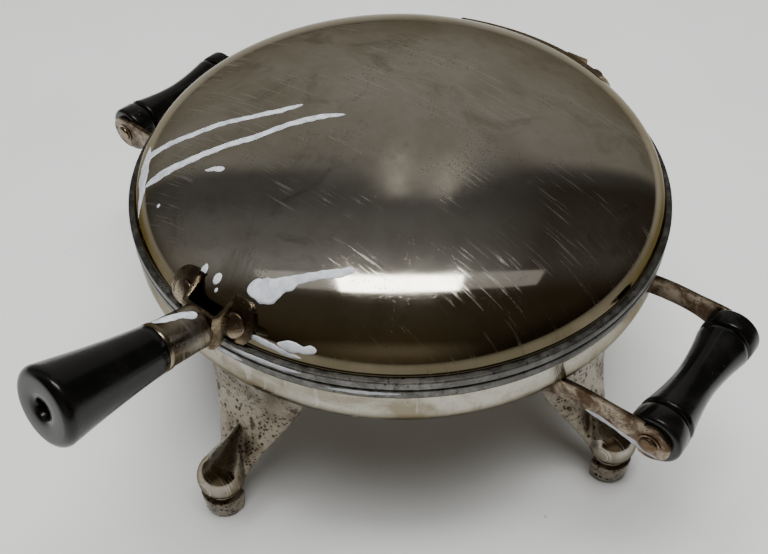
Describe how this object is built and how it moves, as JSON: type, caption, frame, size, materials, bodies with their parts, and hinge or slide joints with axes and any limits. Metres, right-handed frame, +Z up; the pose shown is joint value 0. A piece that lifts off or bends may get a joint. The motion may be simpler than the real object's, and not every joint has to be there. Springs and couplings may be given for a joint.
{
  "type": "waffle maker",
  "caption": "Domed round electric waffle iron with hinged lid, waffle grids, turned front handle, side grips and cabriole legs.",
  "frame": {"origin": "middle of the bounding box's base, on the surface that the feet stand on", "axes": "+Z up, -Y towards the lid handle, +Y towards the hinge, X along the line of the two carrying grips"},
  "size_m": [0.295, 0.2966, 0.1385],
  "materials": {
    "nickel": "worn polished nickel plate with specks",
    "nickel_dull": "dull nickel plate",
    "dome_nickel": "tarnished nickel plate, still reflective, with fine scratches and white paint splashes",
    "leg_nickel": "dulled nickel with dark pitting",
    "bracket_nickel": "worn nickel plate",
    "cast_aluminium": "cast, rough, oxidised grey",
    "cast_aluminium_dark": "cast, rough, darker grey",
    "black_wood": "turned hardwood under worn black lacquer",
    "screw_steel": "tarnished steel",
    "brown_rivet": "tarnished brown steel",
    "element_wire": "oxidised resistance wire coil",
    "mica_board": "matt heat-proof board",
    "bright_tin": "bright tinned sheet",
    "porcelain": "glazed",
    "pin_brass": "dull brass"
  },
  "bodies": {
    "base": {"base_shell": "nickel", "bottom_cover": "nickel_dull", "cover_screws": "screw_steel", "base_screw": "screw_steel", "lower_grid": "cast_aluminium_dark", "lower_element": "element_wire", "lower_insulator": "mica_board", "lower_reflector": "bright_tin", "leg_front": "leg_nickel", "leg_right": "leg_nickel", "leg_back": "leg_nickel", "leg_left": "leg_nickel", "leg_rivets": "screw_steel", "side_bracket_left": "bracket_nickel", "side_bracket_right": "bracket_nickel", "side_grip_left": "black_wood", "side_grip_right": "black_wood", "tie_rod_left": "screw_steel", "tie_rod_right": "screw_steel", "hinge_base_bracket": "bracket_nickel", "hinge_base_screws": "screw_steel", "hinge_pin": "screw_steel", "inlet_shroud": "bracket_nickel", "inlet_insulator": "porcelain", "inlet_pins": "pin_brass"},
    "lid": {"lid_shell": "dome_nickel", "upper_grid": "cast_aluminium", "upper_element": "element_wire", "upper_insulator": "mica_board", "upper_reflector": "bright_tin", "lid_bridge": "bright_tin", "lid_stud": "screw_steel", "lid_nut": "screw_steel", "hinge_lid_strap": "bracket_nickel", "hinge_lid_rivets": "screw_steel", "handle_bracket": "bracket_nickel", "handle_rivets": "brown_rivet", "handle_ferrule": "bracket_nickel", "lid_handle": "black_wood", "handle_rod": "screw_steel", "handle_nut": "screw_steel"}
  },
  "joints": [
    {"name": "lid_hinge", "type": "hinge", "parent": "base", "child": "lid", "pos_m": [0, 0.13733, 0.099], "axis": [-1, 0, 0], "range_deg": [0, 100]}
  ]
}
